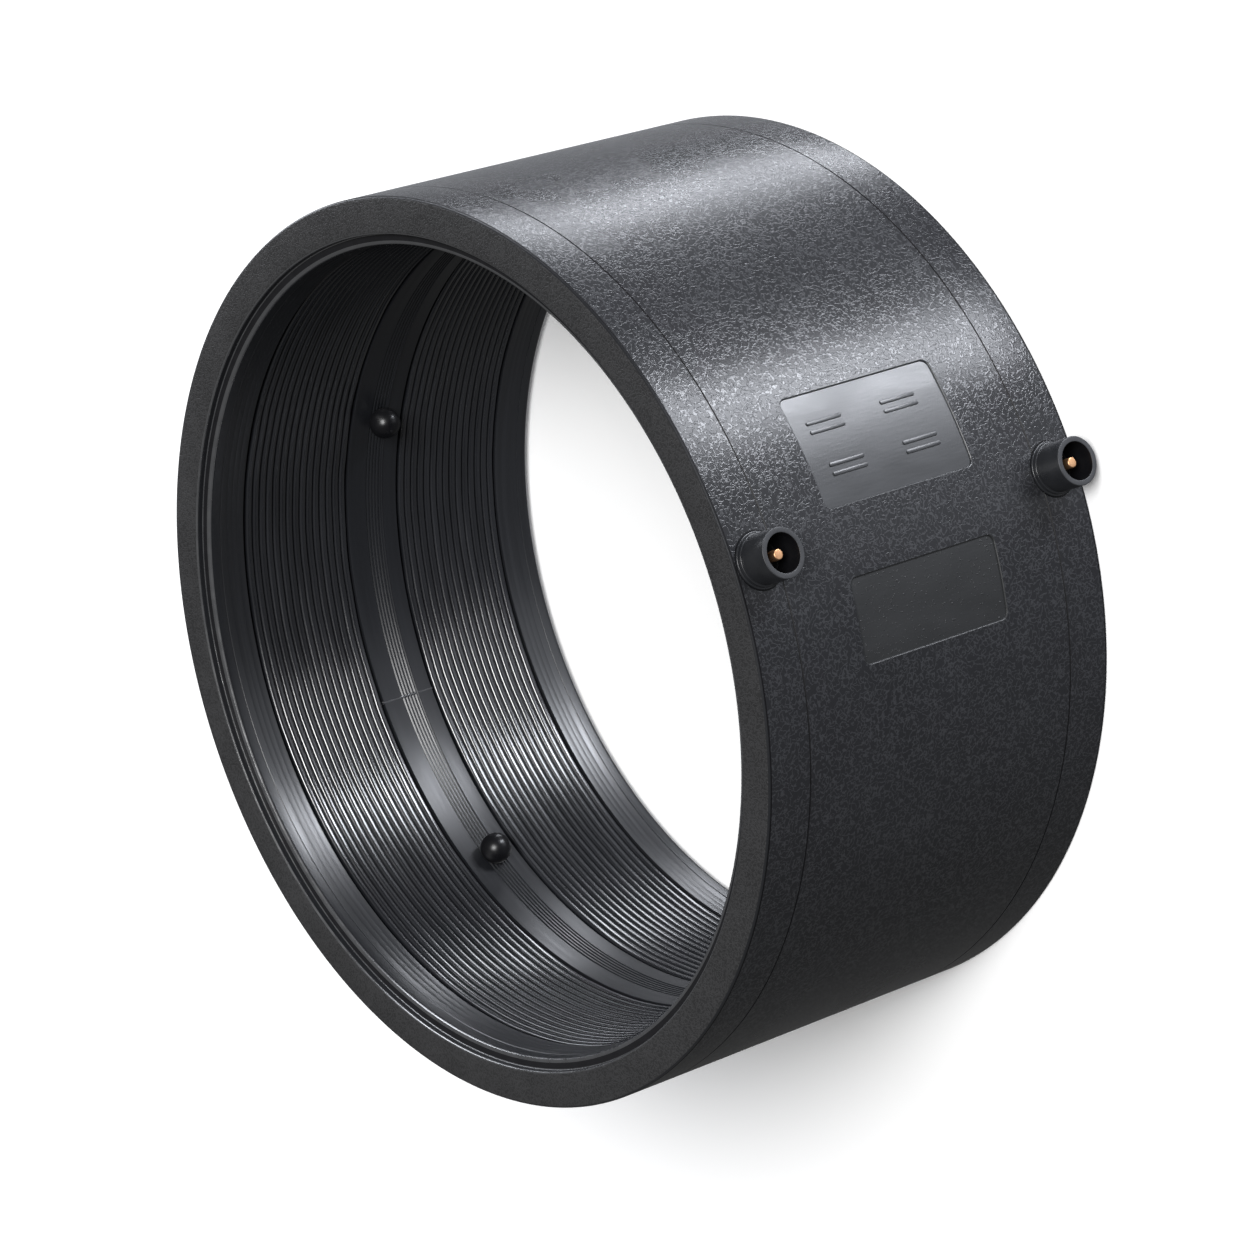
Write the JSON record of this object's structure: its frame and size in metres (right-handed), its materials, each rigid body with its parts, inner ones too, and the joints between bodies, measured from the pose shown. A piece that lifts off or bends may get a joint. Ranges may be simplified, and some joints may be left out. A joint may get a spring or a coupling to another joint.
{
  "type": "electrofusion coupler",
  "caption": "Black polyethylene electrofusion coupler: a thick plain sleeve with ridged heating zones and centre stops in its bore, and two shrouded terminals outside.",
  "frame": {"origin": "on the bore's axis, level with the rear end face on which the coupler stands", "axes": "+Z along the bore from the rear end to the front end, +X out through both terminals, +Y by the right-hand rule"},
  "size_m": [0.3699, 0.356, 0.172],
  "materials": {
    "sleeve_plastic": "black, fine leather-like grain outside, turned smooth inside",
    "coil_coating": "black coating over wire, satin, ridged by the turns",
    "shroud_plastic": "black, smooth, satin gloss",
    "pin_metal": "bright copper alloy",
    "stop_plastic": "black, high gloss"
  },
  "bodies": {
    "root": {"sleeve": "sleeve_plastic", "heating_coil": "coil_coating", "front_terminal_shroud": "shroud_plastic", "rear_terminal_shroud": "shroud_plastic", "front_terminal_pin": "pin_metal", "rear_terminal_pin": "pin_metal", "centre_stops": "stop_plastic"}
  },
  "joints": []
}
